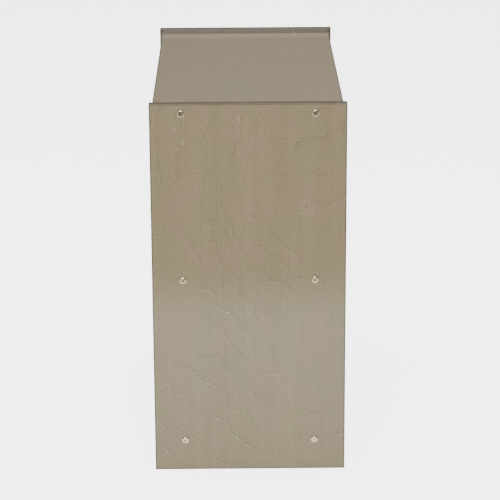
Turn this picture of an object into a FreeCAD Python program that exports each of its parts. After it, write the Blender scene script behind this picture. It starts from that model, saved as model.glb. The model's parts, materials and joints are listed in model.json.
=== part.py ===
import FreeCAD, Part
import math
import os
import re
import sys

import Sketcher

# A floor-standing book drop box in stained plywood. Two equal side panels carry three levels of board on
# connector bolts; a slot with a hanging flap is in the upper front, and a locked door below it.
# Millimetres. +Z is up, -Y is the front, +X is the right-hand end; the origin is the middle of the footprint.

V = FreeCAD.Vector
X, Y, Z = V(1, 0, 0), V(0, 1, 0), V(0, 0, 1)

SIZES = {
    # carcase
    "overall_width": 760,
    "overall_depth": 400,
    "overall_height": 795,
    "board": 18,
    "thin_board": 9,
    "edge_round": 1,
    "reveal": 5,
    "bolt_inset": 64,
    "top_bolt_height": 775,
    "middle_bolt_height": 422,
    "bottom_bolt_height": 67,
    "back_setback": 7,
    "rail_height": 55,
    "rail_lift": 3,
    "front_rail_setback": 40,
    "rear_rail_setback": 32,
    # connector bolts, barrel nuts and dowels
    "bolt_head_radius": 7.5,
    "bolt_head_height": 3,
    "bolt_radius": 3,
    "bolt_length": 50,
    "bolt_clearance": 0.3,
    "hex_socket_radius": 2.9,
    "hex_socket_depth": 2,
    "nut_radius": 5,
    "nut_length": 14,
    "nut_from_end": 28,
    "dowel_radius": 4,
    "dowel_length": 30,
    "dowel_in_side": 10,
    "dowel_inset": 64,
    "fit_gap": 0.05,
    "let_in_gap": 0.1,
    "nut_slot_width": 1.4,
    "nut_slot_depth": 1,
    "dowel_chamfer": 1,
    # drop opening and chute
    "drop_width": 600,
    "drop_front": 176,
    "drop_depth": 190,
    "chute_rise": 169,
    "chute_run": 147,
    "cleat_depth": 25,
    # fascia, slot, trim and flap
    "front_setback": 7,
    "slot_width": 516,
    "slot_height": 96,
    "slot_centre_height": 660,
    "trim_border": 24,
    "trim_plate": 1.5,
    "trim_sleeve": 1.2,
    "trim_gap": 0.1,
    "trim_corner": 6,
    "trim_round": 0.6,
    "flap_overlap_side": 4,
    "flap_overlap_low": 8,
    "flap_overlap_high": 4.5,
    "flap_thickness": 6,
    "flap_clearance": 2,
    "flap_corner": 5,
    "bumper_radius": 3.5,
    "bumper_thickness": 1.7,
    "bumper_from_end": 18,
    "bumper_round": 0.6,
    "batten_height": 28,
    "batten_gap": 3,
    # butt hinges, one size throughout
    "hinge_length": 64,
    "hinge_leaf_width": 22,
    "hinge_leaf": 1.2,
    "knuckle_radius": 3,
    "knuckle_standoff": 0.3,
    "knuckle_gap": 0.3,
    "pin_radius": 1.5,
    "pin_head_radius": 2.3,
    "pin_head": 0.8,
    "flap_hinge_spread": 180,
    "flap_axis_rise": 1.5,
    "door_hinge_low": 128,
    "door_hinge_high": 297,
    # door, pull, catch and lock
    "door_gap": 3.5,
    "door_edge_gap": 2,
    "pull_height": 110,
    "pull_width": 46,
    "pull_border": 8,
    "pull_cup_depth": 12,
    "pull_wall": 1.5,
    "pull_lip": 8,
    "pull_corner": 5,
    "pull_round": 0.5,
    "pull_from_edge": 58,
    "pull_centre_height": 250,
    "catch_length": 46,
    "catch_depth": 30,
    "catch_height": 14,
    "catch_from_middle": 250,
    "magnet_length": 24,
    "magnet_thickness": 6,
    "magnet_reach": 1.8,
    "magnet_depth": 14,
    "catch_corner": 1.5,
    "catch_screw_spread": 18.5,
    "catch_gap": 0.4,
    "strike_plate_length": 38,
    "strike_plate_height": 13,
    "strike_plate": 1.2,
    "strike_plate_rise": 0.5,
    "strike_screw_spread": 16.2,
    "lock_from_edge": 40,
    "lock_height": 345,
    "lock_radius": 9.5,
    "lock_rim_radius": 12,
    "lock_rim": 2,
    "lock_length": 29,
    "lock_nut_radius": 14,
    "lock_nut": 4,
    "plug_radius": 6,
    "plug_proud": 0.2,
    "key_slot_width": 1.6,
    "key_slot_height": 7.5,
    "key_slot_depth": 8,
    "cam_thickness": 2.5,
    "cam_width": 14,
    "cam_reach": 32,
    "cam_hub_radius": 3.5,
    "cam_corner": 3,
    "cam_gap": 0.7,
    "lock_strike_plate": 2,
    "lock_strike_height": 40,
    "lock_strike_lip": 20,
    "lock_strike_depth": 26,
    "lock_strike_screw_back": 14,
    "lock_strike_screw_rise": 11,
    # landing mat and angle brackets
    "mat_thickness": 8,
    "mat_width": 680,
    "mat_depth": 336,
    "mat_corner": 12,
    "mat_back": 4,
    "bracket_leg": 30,
    "bracket_width": 20,
    "bracket_plate": 2,
    "bracket_hole_radius": 1.8,
    "bracket_spread": 300,
    # screws in the boards
    "back_screw_pitch": 150,
    "rail_screw_spread": 280,
    "trim_screw_spread": 250,
}

SCREWS = {
    # name: head radius, head height, shank radius, length
    "long": (4.2, 2.2, 2.1, 45),
    "board": (4, 2, 2, 25),
    "cleat": (4, 2, 2, 28),
    "small": (3.2, 1.4, 1.6, 13),
    "trim": (3, 1.3, 1.5, 15),
    "short": (2.8, 1.3, 1.4, 5.5),
    "hinge": (2.9, 1.3, 1.5, 13),
}
HOLE_EXTRA = 0.1

doc = FreeCAD.newDocument("book_drop_box")
sheet = doc.addObject("Spreadsheet::Sheet", "Sizes")
for row, (word, number) in enumerate(SIZES.items(), start=1):
    sheet.set(f"A{row}", word)
    sheet.set(f"B{row}", str(number))
    sheet.setAlias(f"B{row}", word)
doc.recompute()

nodes = []


# ---- helpers: sizes, placing, primitives and booleans ----

def size(word):
    """One driving dimension, read back from the sheet."""
    return float(sheet.get(word))


def bind(thing, target, formula):
    """Drives a property or a sketch dimension by a formula in the sheet's words."""
    thing.setExpression(target, re.sub(r"\b[a-z]+(_[a-z]+)+\b|\bboard\b|\breveal\b", r"Sizes.\g<0>", formula))


def place(thing, corner, rotation=None):
    """Puts a piece at a point given by three formulas, turned by rotation."""
    if rotation is not None:
        thing.Placement = FreeCAD.Placement(V(0, 0, 0), rotation)
    for axis, formula in zip("xyz", corner):
        bind(thing, f"Placement.Base.{axis}", formula)
    return thing


def box(name, sides, corner):
    piece = doc.addObject("Part::Box", name)
    for side, formula in zip(("Length", "Width", "Height"), sides):
        bind(piece, side, formula)
    return place(piece, corner)


TURN = {
    "z": FreeCAD.Rotation(),
    "x": FreeCAD.Rotation(Y, 90),
    "y": FreeCAD.Rotation(X, -90),
}


def rod(name, radius, length, start=("0", "0", "0"), along="z"):
    piece = doc.addObject("Part::Cylinder", name)
    bind(piece, "Radius", radius)
    bind(piece, "Height", length)
    return place(piece, start, TURN[along])


def hexagon(name, radius, length, start=("0", "0", "0"), along="z"):
    piece = doc.addObject("Part::Prism", name)
    piece.Polygon = 6
    bind(piece, "Circumradius", radius)
    bind(piece, "Height", length)
    return place(piece, start, TURN[along])


def fuse(name, pieces):
    joined = doc.addObject("Part::MultiFuse", name)
    joined.Shapes = pieces
    return joined


def cut(name, base, tools):
    result = doc.addObject("Part::Cut", name)
    result.Base = base
    result.Tool = tools[0] if len(tools) == 1 else fuse(name + "_tools", tools)
    return result


def soften(name, base, radius, chosen):
    """Rounds the edges of a piece that the test picks."""
    doc.recompute()
    result = doc.addObject("Part::Fillet", name)
    result.Base = base
    result.Edges = [(i, radius, radius) for i, edge in enumerate(base.Shape.Edges, start=1) if chosen(edge)]
    return result


def node(name, piece):
    """Names a finished sub-part."""
    piece.Label = name
    nodes.append(piece)
    return piece


# ---- helpers: bodies made from sketches ----

def sketch_on(body, name, role):
    sketch = body.newObject("Sketcher::SketchObject", name)
    planes = [feature for feature in body.Origin.OriginFeatures if feature.Role == role]
    sketch.AttachmentSupport = [(planes[0], "")]
    sketch.MapMode = "FlatFace"
    return sketch


def draw_outline(sketch, points):
    """A closed outline of straight lines; each point is two formulas from the sketch's origin."""
    count = len(points)
    rough = [V(10 + 5 * math.cos(2 * math.pi * k / count), 10 + 5 * math.sin(2 * math.pi * k / count), 0)
             for k in range(count)]
    first = sketch.GeometryCount
    for k in range(count):
        sketch.addGeometry(Part.LineSegment(rough[k], rough[(k + 1) % count]), False)
    for k in range(count):
        sketch.addConstraint(Sketcher.Constraint("Coincident", first + k, 2, first + (k + 1) % count, 1))
    for k, (across, up) in enumerate(points):
        for kind, axis, formula in (("DistanceX", 0, across), ("DistanceY", 1, up)):
            if formula == "0":
                on_axis = -2 if axis == 0 else -1
                sketch.addConstraint(Sketcher.Constraint("PointOnObject", first + k, 1, on_axis))
                continue
            number = sketch.addConstraint(Sketcher.Constraint(kind, -1, 1, first + k, 1, rough[k][axis]))
            bind(sketch, f"Constraints[{number}]", formula)


def draw_rectangle(sketch, left, low, wide, tall):
    right = wide if left == "0" else f"{left} + {wide}"
    high = tall if low == "0" else f"{low} + {tall}"
    draw_outline(sketch, [(left, low), (right, low), (right, high), (left, high)])


def plate(name, role, wide, tall, thick, backwards=False):
    """A body with one rectangular pad that starts at the origin's corner."""
    body = doc.addObject("PartDesign::Body", name)
    outline = sketch_on(body, name + "_outline", role)
    draw_rectangle(outline, "0", "0", wide, tall)
    pad = body.newObject("PartDesign::Pad", name + "_pad")
    pad.Profile = outline
    pad.Reversed = backwards
    bind(pad, "Length", thick)
    doc.recompute()
    return body


def round_body(body, chosen, radius="edge_round"):
    """Eases the edges that the test picks."""
    base = body.Tip
    fillet = body.newObject("PartDesign::Fillet", body.Name + "_round")
    names = [f"Edge{i}" for i, edge in enumerate(base.Shape.Edges, start=1) if chosen(edge)]
    fillet.Base = (base, names)
    bind(fillet, "Radius", radius)
    doc.recompute()


def pocket(body, name, role, rectangle, depth=None, backwards=False):
    """A rectangular pocket from an origin plane, right through when no depth is given."""
    before = body.Shape.Volume
    outline = sketch_on(body, name + "_outline", role)
    draw_rectangle(outline, *rectangle)
    hole = body.newObject("PartDesign::Pocket", name)
    hole.Profile = outline
    hole.Reversed = backwards
    if depth is None:
        hole.Type = "ThroughAll"
    else:
        bind(hole, "Length", depth)
    doc.recompute()
    if body.Shape.Volume > before - 1:
        sys.exit(f"{name} cuts nothing")


def runs_along(axis):
    """A test for straight edges along an axis."""
    def chosen(edge):
        return len(edge.Vertexes) == 2 and abs(edge.tangentAt(edge.FirstParameter).dot(axis)) > 0.999
    return chosen


# ---- helpers: fasteners ----

def group(name, master, placements):
    """Copies of one piece as separate solids."""
    copies = []
    for placement in placements:
        copy = master.Shape.copy()
        copy.Placement = placement.multiply(copy.Placement)
        copies.append(copy)
    piece = doc.addObject("Part::Feature", name)
    piece.Shape = Part.Compound(copies)
    return piece


def facing(spot, direction):
    """A placement whose +Z looks along direction."""
    return FreeCAD.Placement(V(*spot), FreeCAD.Rotation(Z, direction))


def top_rim(height):
    return lambda edge: len(edge.Vertexes) == 1 and abs(edge.CenterOfMass.z - height) < 1e-6


def front_rims(face):
    """A test for the rims in a plate's front face, screw holes left out."""
    return lambda edge: len(edge.Vertexes) == 2 and all(abs(end.Y - face) < 1e-6 for end in edge.Vertexes)


def make_screw(kind):
    """A pan-head wood screw, its seat at the origin and its head towards +Z."""
    head_radius, head_height, shank_radius, length = SCREWS[kind]
    name = f"{kind}_screw"
    tip = 2 * shank_radius
    head = rod(name + "_head", str(head_radius), str(head_height))
    domed = soften(name + "_dome", head, 0.7 * head_height, top_rim(head_height))
    shank = rod(name + "_shank", str(shank_radius), str(length - tip), ("0", "0", str(tip - length)))
    point = doc.addObject("Part::Cone", name + "_point")
    point.Radius1 = 0.3
    point.Radius2 = shank_radius
    point.Height = tip
    place(point, ("0", "0", str(-length)))
    solid = fuse(name + "_solid", [domed, shank, point])
    slot = 0.28 * head_radius
    reach = 1.1 * head_radius
    deep = 0.6 * head_height
    recess = [
        box(name + "_slot_a", (str(reach), str(slot), str(head_height)),
            (str(-reach / 2), str(-slot / 2), str(head_height - deep))),
        box(name + "_slot_b", (str(slot), str(reach), str(head_height)),
            (str(-slot / 2), str(-reach / 2), str(head_height - deep))),
    ]
    return cut(name, solid, recess)


screw_masters = {kind: make_screw(kind) for kind in SCREWS}
doc.recompute()


def drive_screws(name, kind, spots, sunk=False):
    """Screws at (place of the head's seat, way the head faces); gives back the holes that they need."""
    head_radius, head_height, shank_radius, length = SCREWS[kind]
    placements = []
    holes = []
    for spot, way in spots:
        seat = V(*spot) - way * (head_height if sunk else 0)
        placements.append(facing(seat, way))
        hole = Part.makeCylinder(shank_radius + HOLE_EXTRA, length + HOLE_EXTRA, seat, -way)
        if sunk:
            hole = hole.fuse(Part.makeCylinder(head_radius + HOLE_EXTRA, head_height + 1, seat, way))
        holes.append(hole)
    node(name, group(name, screw_masters[kind], placements))
    tool = doc.addObject("Part::Feature", name + "_holes")
    tool.Shape = Part.Compound(holes)
    return tool


# ---- levels and faces that several sub-parts share ----

half_width = size("overall_width") / 2
half_depth = size("overall_depth") / 2
board = size("board")
inner = half_width - board
levels = [size(word) for word in ("top_bolt_height", "middle_bolt_height", "bottom_bolt_height")]
top_level, middle_level, bottom_level = levels
bolt_y = half_depth - size("bolt_inset")
dowel_y = bolt_y - size("dowel_inset")
front_face = -half_depth + size("front_setback")
front_rear = front_face + board
back_inside = half_depth - size("back_setback") - size("thin_board")
back_outside = half_depth - size("back_setback")
shelf_top = middle_level + board / 2
floor_top = bottom_level + board / 2
slot_centre = size("slot_centre_height")
slot_half_height = size("slot_height") / 2
ENDS = (1, -1)
SIDES = (-1, 1)


# ---- connector bolts, barrel nuts and dowels ----

def connector_hardware():
    """Domed bolts through the side panels into barrel nuts in the boards, with dowels beside them."""
    head = rod("bolt_head", "bolt_head_radius", "bolt_head_height")
    domed = soften("bolt_dome", head, 0.75 * size("bolt_head_height"), top_rim(size("bolt_head_height")))
    shank = rod("bolt_shank", "bolt_radius", "bolt_length", ("0", "0", "-bolt_length"))
    socket = hexagon("bolt_socket", "hex_socket_radius", "hex_socket_depth + 1",
                     ("0", "0", "bolt_head_height - hex_socket_depth"))
    bolt = cut("bolt", fuse("bolt_solid", [domed, shank]), [socket])

    nut = rod("nut_barrel", "nut_radius", "nut_length", ("0", "0", "-nut_length / 2"))
    thread = rod("nut_thread", "bolt_radius + fit_gap", "nut_radius * 4", ("-nut_radius * 2", "0", "0"), "x")
    driver = box("nut_slot", ("nut_radius * 3", "nut_slot_width", "nut_slot_depth * 2"),
                 ("-nut_radius * 1.5", "-nut_slot_width / 2", "-nut_length / 2 - nut_slot_depth"))
    barrel = cut("barrel_nut", nut, [thread, driver])

    pin = rod("dowel_rod", "dowel_radius", "dowel_length")
    dowel = soften("dowel", pin, size("dowel_chamfer"), lambda edge: len(edge.Vertexes) == 1)
    doc.recompute()

    bolts = []
    nuts = []
    dowels = []
    for end in ENDS:
        for level in levels:
            for side in SIDES:
                nut_x = end * (inner - size("nut_from_end"))
                dowel_end = V(end * (inner + size("dowel_in_side")), side * dowel_y, level)
                bolts.append(facing((end * half_width, side * bolt_y, level), X * end))
                nuts.append(FreeCAD.Placement(V(nut_x, side * bolt_y, level), FreeCAD.Rotation()))
                dowels.append(facing(dowel_end, X * -end))
    node("connector_bolts", group("connector_bolts", bolt, bolts))
    node("barrel_nuts", group("barrel_nuts", barrel, nuts))
    node("locating_dowels", group("locating_dowels", dowel, dowels))

    reach = size("bolt_length") + 2
    clear = size("bolt_clearance")
    nut_deep = board / 2 + size("nut_length") / 2
    holes = []
    for p in bolts:
        way = X * -math.copysign(1, p.Base.x)
        holes.append(Part.makeCylinder(size("bolt_radius") + clear, reach, p.Base, way))
    for p in nuts:
        low = p.Base - Z * (board / 2)
        holes.append(Part.makeCylinder(size("nut_radius") + size("let_in_gap"), nut_deep, low, Z))
    for p in dowels:
        way = X * -math.copysign(1, p.Base.x)
        start = p.Base - way * 0.5
        radius = size("dowel_radius") + size("fit_gap")
        holes.append(Part.makeCylinder(radius, size("dowel_length") + 1, start, way))
    tool = doc.addObject("Part::Feature", "connector_holes")
    tool.Shape = holes[0].multiFuse(holes[1:])
    return tool


# ---- carcase boards ----

def side_panel(name, end, holes):
    """An end of the box. Both ends are the same board, turned round."""
    body = plate(name + "_board", "YZ_Plane", "overall_depth", "overall_height", "board")
    round_body(body, lambda edge: True)
    turn = FreeCAD.Rotation() if end > 0 else FreeCAD.Rotation(Z, 180)
    across = "overall_width / 2 - board" if end > 0 else "board - overall_width / 2"
    along = "-overall_depth / 2" if end > 0 else "overall_depth / 2"
    place(body, (across, along, "0"), turn)
    node(name, cut(name, body, holes))


def level_board(name, height, rear, holes, opening=False):
    """A level board between the side panels, its front and rear edges eased."""
    body = plate(name + "_board", "XY_Plane", "overall_width - 2 * board", f"overall_depth - reveal - {rear}",
                 "board")
    round_body(body, runs_along(X))
    if opening:
        drop = ("(overall_width - 2 * board - drop_width) / 2", "drop_front - reveal",
                "drop_width", "drop_depth")
        pocket(body, name + "_opening", "XY_Plane", drop, backwards=True)
    place(body, ("board - overall_width / 2", "reveal - overall_depth / 2", f"{height} - board / 2"))
    node(name, cut(name, body, holes))


def front_fascia(holes):
    """The upper front board, with the book slot."""
    body = plate("fascia_board", "XZ_Plane", "overall_width - 2 * board",
                 "top_bolt_height - middle_bolt_height - board", "board", backwards=True)
    slot = ("(overall_width - 2 * board - slot_width) / 2",
            "slot_centre_height - slot_height / 2 - middle_bolt_height - board / 2",
            "slot_width", "slot_height")
    pocket(body, "book_slot", "XZ_Plane", slot)
    place(body, ("board - overall_width / 2", "front_setback - overall_depth / 2",
                 "middle_bolt_height + board / 2"))
    node("front_fascia", cut("front_fascia", body, holes))


def back_panel(holes):
    body = plate("back_board", "XZ_Plane", "overall_width - 2 * board",
                 "top_bolt_height - bottom_bolt_height", "thin_board", backwards=True)
    place(body, ("board - overall_width / 2", "overall_depth / 2 - back_setback - thin_board",
                 "bottom_bolt_height - board / 2"))
    node("back_panel", cut("back_panel", body, holes))


def toe_rail(name, low_y, holes):
    """An upright rail under the bottom board, just clear of the floor."""
    body = plate(name + "_board", "XZ_Plane", "overall_width - 2 * board", "rail_height", "board",
                 backwards=True)
    round_body(body, runs_along(X))
    place(body, ("board - overall_width / 2", low_y, "rail_lift"))
    node(name, cut(name, body, holes))


def sloped_board(name, lift, thick, left, wide, holes):
    """A board that slopes down from the fascia to the middle shelf, its ends cut upright and level."""
    body = doc.addObject("PartDesign::Body", name + "_board")
    outline = sketch_on(body, name + "_outline", "YZ_Plane")
    slope = "sqrt(chute_rise ^ 2 + chute_run ^ 2)"
    draw_outline(outline, [
        ("0", f"chute_rise - ({lift} + {thick}) * {slope} / chute_run"),
        (f"chute_run - ({lift} + {thick}) * {slope} / chute_rise", "0"),
        (f"chute_run - {lift} * {slope} / chute_rise", "0"),
        ("0", f"chute_rise - {lift} * {slope} / chute_run"),
    ])
    pad = body.newObject("PartDesign::Pad", name + "_pad")
    pad.Profile = outline
    bind(pad, "Length", wide)
    place(body, (left, "front_setback + board - overall_depth / 2", "middle_bolt_height + board / 2"))
    node(name, cut(name, body, holes))


# ---- slot trim, flap batten and bumpers ----

def slot_trim(holes):
    """A bent metal plate round the slot, with a sleeve that lines it."""
    body = plate("trim_sheet", "XZ_Plane", "slot_width + 2 * trim_border", "slot_height + 2 * trim_border",
                 "trim_plate", backwards=True)
    round_body(body, runs_along(Y), "trim_corner")
    place(body, ("-slot_width / 2 - trim_border", "front_setback - overall_depth / 2 - trim_plate",
                 "slot_centre_height - slot_height / 2 - trim_border"))
    sleeve = box("trim_sleeve_outside", ("slot_width - 2 * trim_gap", "board + 1",
                                         "slot_height - 2 * trim_gap"),
                 ("trim_gap - slot_width / 2", "front_setback - overall_depth / 2 - 1",
                  "slot_centre_height - slot_height / 2 + trim_gap"))
    wall = "(trim_gap + trim_sleeve)"
    way_in = box("trim_way_in", (f"slot_width - 2 * {wall}", "board + 20", f"slot_height - 2 * {wall}"),
                 (f"{wall} - slot_width / 2", "front_setback - overall_depth / 2 - 10",
                  f"slot_centre_height - slot_height / 2 + {wall}"))
    solid = cut("trim_cut", fuse("trim_solid", [body, sleeve]), [way_in] + holes)
    rims = front_rims(front_face - size("trim_plate"))
    node("slot_trim", soften("slot_trim", solid, size("trim_round"), rims))


def flap_mounting(holes):
    """The batten that the flap's hinges hang on, and the rubber pads that the flap rests against."""
    batten = box("batten_board", ("slot_width + 2 * flap_overlap_side", "flap_clearance + flap_thickness",
                                  "batten_height"),
                 ("-slot_width / 2 - flap_overlap_side", "front_setback + board - overall_depth / 2",
                  "slot_centre_height + slot_height / 2 + flap_overlap_high + batten_gap"))
    node("flap_batten", cut("flap_batten", batten, holes))
    pad = rod("bumper", "bumper_radius", "bumper_thickness")
    domed = soften("bumper_dome", pad, size("bumper_round"), top_rim(size("bumper_thickness")))
    doc.recompute()
    low = slot_centre - slot_half_height - size("flap_overlap_low") / 2
    reach = size("slot_width") / 2 - size("bumper_from_end")
    spots = [facing((end * reach, front_rear, low), Y) for end in ENDS]
    node("flap_bumpers", group("flap_bumpers", domed, spots))


def flap_panel(holes):
    """A rigid plate that hangs behind the slot."""
    body = plate("flap_sheet", "XZ_Plane", "slot_width + 2 * flap_overlap_side",
                 "slot_height + flap_overlap_low + flap_overlap_high", "flap_thickness", backwards=True)
    low_corner = runs_along(Y)
    round_body(body, lambda edge: low_corner(edge) and edge.CenterOfMass.z < 1, "flap_corner")
    place(body, ("-slot_width / 2 - flap_overlap_side",
                 "front_setback + board + flap_clearance - overall_depth / 2",
                 "slot_centre_height - slot_height / 2 - flap_overlap_low"))
    node("flap_panel", cut("flap_panel", body, holes))


# ---- hinges ----

KNUCKLES = 5
SCREW_SHARES = (0.14, 0.5, 0.86)
SCREW_ACROSS = 0.62
pin_y = -(size("knuckle_radius") + size("knuckle_standoff"))


def make_leaf(name, own):
    """One leaf of a butt hinge: the pin along Z at the origin, the plate towards +X with its back at -Y."""
    back = "(knuckle_radius + knuckle_standoff)"
    sheet_metal = box(name + "_plate", ("hinge_leaf_width", "hinge_leaf", "hinge_length"),
                      ("0", f"-{back}", "0"))
    neck = box(name + "_neck", ("hinge_leaf", f"{back} - pin_radius", "hinge_length"), ("0", f"-{back}", "0"))
    tube = rod(name + "_tube", "knuckle_radius", "hinge_length")
    solid = fuse(name + "_solid", [sheet_metal, neck, tube])
    away = [rod(name + "_bore", "pin_radius + fit_gap", "hinge_length + 2", ("0", "0", "-1"))]
    for k in range(KNUCKLES):
        if k % 2 != own:
            away.append(box(f"{name}_notch_{k}",
                            ("2 * knuckle_radius + 1.5", "2 * knuckle_radius + 2",
                             f"hinge_length / {KNUCKLES} + 2 * knuckle_gap"),
                            ("-knuckle_radius - 1", "-knuckle_radius - 1",
                             f"{k} * hinge_length / {KNUCKLES} - knuckle_gap")))
    away += [rod(f"{name}_screw_{k}", str(SCREWS["hinge"][2] + HOLE_EXTRA), "4 * knuckle_radius",
                 (f"{SCREW_ACROSS} * hinge_leaf_width", "-3 * knuckle_radius",
                  f"hinge_length * {share}"), "y")
             for k, share in enumerate(SCREW_SHARES)]
    return cut(name, solid, away)


def leaf_turn(plate_way, back_way):
    """The turn that takes a leaf's plate to plate_way and its back to back_way."""
    across = -back_way
    along = plate_way.cross(across)
    return FreeCAD.Rotation(plate_way, across, along, "XYZ")


outer_leaf = make_leaf("outer_leaf", 0)
inner_leaf = make_leaf("inner_leaf", 1)
hinge_pin = fuse("hinge_pin", [
    rod("pin_shank", "pin_radius", "hinge_length"),
    rod("pin_low_head", "pin_head_radius", "pin_head", ("0", "0", "-pin_head")),
    rod("pin_high_head", "pin_head_radius", "pin_head", ("0", "0", "hinge_length")),
])
doc.recompute()


def hang(prefix, kinds, starts, fixed_ways, moving_ways, along):
    """Butt hinges on one axis: their leaves, pins and screws. Gives back the holes of each leaf's screws."""
    pins = [facing(start, along) for start in starts]
    node(f"{prefix}_hinge_pins", group(f"{prefix}_hinge_pins", hinge_pin, pins))
    tools = []
    for role, leaf, ways, kind in (("fixed", outer_leaf, fixed_ways, kinds[0]),
                                   ("moving", inner_leaf, moving_ways, kinds[1])):
        turn = leaf_turn(*ways)
        flipped = turn.multVec(Z).dot(along) < 0
        placements = []
        spots = []
        for start in starts:
            base = V(*start) + along * (size("hinge_length") if flipped else 0)
            placements.append(FreeCAD.Placement(base, turn))
            for share in SCREW_SHARES:
                seat = V(SCREW_ACROSS * size("hinge_leaf_width"), pin_y + size("hinge_leaf"),
                         share * size("hinge_length"))
                spots.append((base + turn.multVec(seat), -ways[1]))
        node(f"{prefix}_hinge_{role}_leaves", group(f"{prefix}_hinge_{role}_leaves", leaf, placements))
        tools.append(drive_screws(f"{prefix}_hinge_{role}_screws", kind, spots))
    return tools


# ---- door, pull, catch and lock ----

def access_door(holes):
    """The lower front door, inset between the side panels."""
    body = plate("door_board", "XZ_Plane", "overall_width - 2 * board - 2 * door_gap",
                 "middle_bolt_height - bottom_bolt_height - board - 2 * door_edge_gap", "board",
                 backwards=True)
    round_body(body, lambda edge: True)
    recess = ("pull_from_edge - pull_width / 2 + pull_border - let_in_gap",
              "pull_centre_height - pull_height / 2 + pull_border - let_in_gap"
              " - bottom_bolt_height - board / 2 - door_edge_gap",
              "pull_width - 2 * pull_border + 2 * let_in_gap",
              "pull_height - 2 * pull_border + 2 * let_in_gap")
    pocket(body, "pull_recess", "XZ_Plane", recess, "pull_cup_depth + 3 * let_in_gap")
    place(body, ("board + door_gap - overall_width / 2", "front_setback - overall_depth / 2",
                 "bottom_bolt_height + board / 2 + door_edge_gap"))
    node("access_door", cut("access_door", body, holes))


def door_pull():
    """A flush pull: a plate with a cup let into the door, and a lip to put fingers behind."""
    left = "board + door_gap - overall_width / 2 + pull_from_edge - pull_width / 2"
    low = "pull_centre_height - pull_height / 2"
    face = "front_setback - overall_depth / 2"
    rim = box("pull_plate", ("pull_width", "pull_wall", "pull_height"), (left, f"{face} - pull_wall", low))
    eased = soften("pull_plate_round", rim, size("pull_corner"), runs_along(Y))
    cup = box("pull_cup", ("pull_width - 2 * pull_border", "pull_cup_depth + 1",
                           "pull_height - 2 * pull_border"),
              (f"{left} + pull_border", f"{face} - 1", f"{low} + pull_border"))
    hollow = box("pull_hollow", ("pull_width - 2 * pull_border - 2 * pull_wall", "pull_cup_depth - pull_wall",
                                 "pull_height - 2 * pull_border - 2 * pull_wall"),
                 (f"{left} + pull_border + pull_wall", face, f"{low} + pull_border + pull_wall"))
    mouth = box("pull_mouth", ("pull_width - 2 * pull_border - 2 * pull_wall - pull_lip", "5 * pull_wall",
                               "pull_height - 2 * pull_border - 2 * pull_wall"),
                (f"{left} + pull_border + pull_wall + pull_lip", f"{face} - 3 * pull_wall",
                 f"{low} + pull_border + pull_wall"))
    solid = fuse("pull_solid", [eased, cup])
    middle = (-half_width + board + size("door_gap") + size("pull_from_edge"), front_face - size("pull_wall"))
    reach = (size("pull_height") - size("pull_border")) / 2
    spots = [((middle[0], middle[1], size("pull_centre_height") + side * reach), -Y) for side in SIDES]
    holes = drive_screws("door_pull_screws", "trim", spots)
    open_cup = cut("pull_cut", solid, [hollow, mouth, holes])
    node("door_pull", soften("door_pull", open_cup, size("pull_round"), front_rims(middle[1])))
    return holes


def magnetic_catch():
    """A catch under the middle shelf and its strike plate on the door."""
    left = "-catch_from_middle - catch_length / 2"
    roof = "middle_bolt_height - board / 2"
    nose = "front_setback + board - overall_depth / 2 + strike_plate + catch_gap"
    shell = box("catch_shell", ("catch_length", "catch_depth", "catch_height"),
                (left, f"{nose} + magnet_reach", f"{roof} - catch_height"))
    eased = soften("catch_shell_round", shell, size("catch_corner"), runs_along(Z))
    bed = box("catch_bed", ("magnet_length", "magnet_depth + let_in_gap", "magnet_thickness"),
              ("-catch_from_middle - magnet_length / 2", f"{nose} + magnet_reach - let_in_gap",
               f"{roof} - catch_height / 2 - magnet_thickness / 2"))
    magnet = box("magnet_bar", ("magnet_length - 2 * let_in_gap", "magnet_reach + magnet_depth - let_in_gap",
                                "magnet_thickness - 2 * let_in_gap"),
                 ("let_in_gap - catch_from_middle - magnet_length / 2", nose,
                  f"{roof} - catch_height / 2 - magnet_thickness / 2 + let_in_gap"))
    nose_y = front_rear + size("strike_plate") + size("catch_gap")
    catch_y = nose_y + size("magnet_reach") + size("catch_depth") / 2
    low = middle_level - board / 2 - size("catch_height")
    centre = -size("catch_from_middle")
    spots = [((centre + side * size("catch_screw_spread"), catch_y, low), -Z) for side in SIDES]
    holes = drive_screws("catch_screws", "board", spots)
    node("catch_housing", cut("catch_housing", eased, [bed, holes]))
    node("catch_magnet", magnet)

    metal = box("strike_sheet", ("strike_plate_length", "strike_plate", "strike_plate_height"),
                ("-catch_from_middle - strike_plate_length / 2", "front_setback + board - overall_depth / 2",
                 f"{roof} - catch_height / 2 - strike_plate_height / 2 + strike_plate_rise - door_edge_gap"))
    plate_z = low + size("catch_height") / 2 + size("strike_plate_rise") - size("door_edge_gap")
    spots = [((centre + side * size("strike_screw_spread"), front_rear + size("strike_plate"), plate_z), Y)
             for side in SIDES]
    strike_holes = drive_screws("catch_strike_screws", "short", spots)
    node("catch_strike_plate", cut("catch_strike_plate", metal, [strike_holes]))
    return holes, strike_holes


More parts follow.
